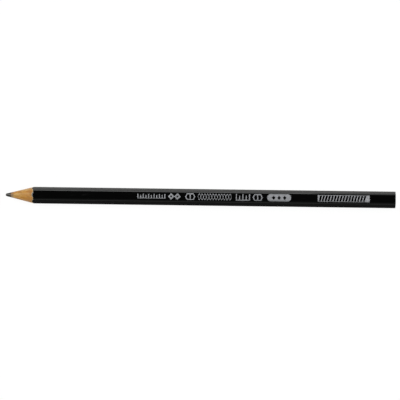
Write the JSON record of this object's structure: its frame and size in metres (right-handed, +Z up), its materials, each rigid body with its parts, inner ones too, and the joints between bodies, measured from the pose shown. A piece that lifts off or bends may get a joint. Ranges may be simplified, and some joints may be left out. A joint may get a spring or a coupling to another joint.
{
  "type": "hexagonal pencil",
  "caption": "Sharpened hexagonal wooden pencil with black lacquer, a graphite core glued between two slats, and plain silver foil marks on one facet.",
  "frame": {"origin": "below the middle of the pencil's axis, on the surface that its lowest facet rests on", "axes": "+X along the pencil from the point to the cut end, +Z up out of the top facet that holds the foil marks, +Y across"},
  "size_m": [0.175, 0.0074, 0.007],
  "materials": {
    "graphite": "satin grey of a graphite and clay core, with fine rings from the sharpener",
    "wood": "freshly cut fine-grained softwood, dry and matt",
    "glue": "dried wood glue",
    "primer": "matt pale ground coat",
    "lacquer": "deep black lacquer",
    "varnish": "clear gloss varnish",
    "foil": "hot-stamped silver foil, slightly worn"
  },
  "bodies": {
    "root": {"graphite_core": "graphite", "core_bond": "glue", "upper_slat": "wood", "lower_slat": "wood", "glue_seam_left": "glue", "glue_seam_right": "glue", "ground_coat": "primer", "colour_coat": "lacquer", "clear_coat": "varnish", "foil_ladder_band": "foil", "foil_grade_plate": "foil", "foil_lozenge_rear": "foil", "foil_bar_group": "foil", "foil_braid": "foil", "foil_lozenge_front": "foil", "foil_diamond_pair": "foil", "foil_tick_rule": "foil"}
  },
  "joints": []
}
